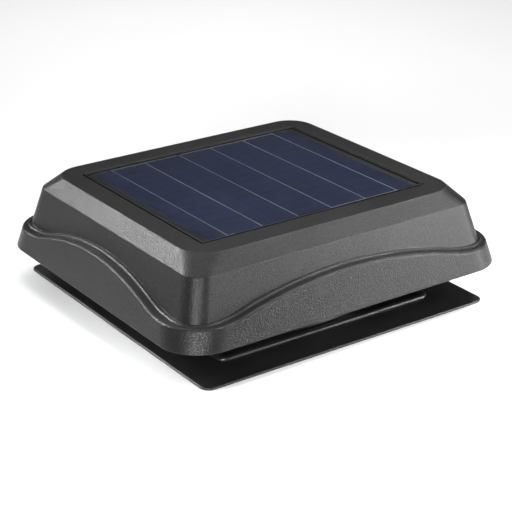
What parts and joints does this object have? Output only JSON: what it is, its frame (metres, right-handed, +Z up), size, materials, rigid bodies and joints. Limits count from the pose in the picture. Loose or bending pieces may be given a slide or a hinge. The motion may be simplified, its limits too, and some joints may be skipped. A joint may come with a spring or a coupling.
{
  "type": "solar attic fan",
  "caption": "Roof-mounted solar attic fan: moulded hood with an arched ledge and a flush solar panel over a flat flashing, with a screened motor-driven fan inside.",
  "frame": {"origin": "centre of the flashing's flat underside, which lies on the roof deck", "axes": "+Z up, away from the roof; +X along the hood's longer side; -Y towards the hood's front; the fan turns about Z"},
  "size_m": [0.6, 0.54, 0.179],
  "materials": {
    "hood_plastic": "fine moulded grain",
    "black_plastic": "smooth black moulding",
    "panel_glass": "clear tempered glass",
    "silicon": "dark blue silicon",
    "ribbon": "tinned copper ribbon",
    "encapsulant": "black encapsulant film",
    "backsheet": "black backsheet",
    "sealant": "black silicone",
    "frame_aluminium": "dark anodised",
    "box_plastic": "black box plastic",
    "zinc_steel": "zinc plated",
    "galvanised": "galvanised sheet",
    "black_steel": "black powder coat",
    "screen_steel": "woven wire",
    "rubber": "black rubber",
    "motor_paint": "satin motor paint",
    "cast_aluminium": "die cast",
    "bearing_steel": "ground steel",
    "lamination": "stacked steel sheet",
    "copper": "enamelled copper wire",
    "board": "green board",
    "magnet": "nickel plated magnet",
    "shaft_steel": "ground shaft",
    "blade_aluminium": "rolled sheet",
    "lead_jacket": "black lead jacket",
    "switch_body": "phenolic"
  },
  "bodies": {
    "housing": {"hood_shell": "hood_plastic", "panel_glass": "panel_glass", "solar_cells": "silicon", "cell_ribbons": "ribbon", "panel_encapsulant": "encapsulant", "panel_backsheet": "backsheet", "panel_seal": "sealant", "panel_frame_front": "frame_aluminium", "panel_frame_rear": "frame_aluminium", "panel_frame_left": "frame_aluminium", "panel_frame_right": "frame_aluminium", "frame_corner_keys": "cast_aluminium", "panel_brackets": "zinc_steel", "panel_bracket_screws": "zinc_steel", "junction_box": "box_plastic", "junction_box_lid": "box_plastic", "junction_box_terminals": "zinc_steel", "bypass_diode": "sealant", "junction_box_gland": "black_plastic", "panel_lead": "lead_jacket", "motor_lead": "lead_jacket", "lead_clips": "black_plastic", "lead_grommets": "rubber", "base_flashing": "black_plastic", "venturi_ring": "galvanised", "base_rivets": "cast_aluminium", "hood_legs": "black_steel", "hood_bolts": "zinc_steel", "insect_screen": "screen_steel", "bracket_arm_1": "black_steel", "bracket_arm_2": "black_steel", "bracket_arm_3": "black_steel", "bracket_arm_4": "black_steel", "motor_plate": "galvanised", "bracket_bolts": "zinc_steel", "vibration_isolators": "rubber", "motor_mount_screws": "zinc_steel", "motor_can": "motor_paint", "motor_end_cap": "cast_aluminium", "stator_core": "lamination", "stator_windings": "copper", "controller_board": "board", "wave_washer": "bearing_steel", "bearing_outer_races": "bearing_steel", "thermal_switch": "switch_body"},
    "rotor": {"motor_shaft": "shaft_steel", "rotor_core": "lamination", "rotor_magnets": "magnet", "bearing_inner_races": "bearing_steel", "fan_hub": "zinc_steel", "hub_set_screw": "shaft_steel", "fan_spider": "galvanised", "fan_blade_1": "blade_aluminium", "fan_blade_2": "blade_aluminium", "fan_blade_3": "blade_aluminium", "fan_blade_4": "blade_aluminium", "fan_blade_5": "blade_aluminium", "blade_rivets": "cast_aluminium"},
    "lower_cage": {"lower_bearing_balls": "bearing_steel"},
    "upper_cage": {"upper_bearing_balls": "bearing_steel"}
  },
  "joints": [
    {"name": "fan_spin", "type": "hinge", "parent": "housing", "child": "rotor", "pos_m": [0, 0, 0.07], "axis": [0, 0, 1], "continuous": true},
    {"name": "lower_cage_spin", "type": "hinge", "parent": "housing", "child": "lower_cage", "pos_m": [0, 0, 0.07], "axis": [0, 0, 1], "continuous": true},
    {"name": "upper_cage_spin", "type": "hinge", "parent": "housing", "child": "upper_cage", "pos_m": [0, 0, 0.1125], "axis": [0, 0, 1], "continuous": true}
  ],
  "couplings": [
    {"joint": "lower_cage_spin", "follows": "fan_spin", "ratio": 0.3677},
    {"joint": "upper_cage_spin", "follows": "fan_spin", "ratio": 0.3677}
  ]
}
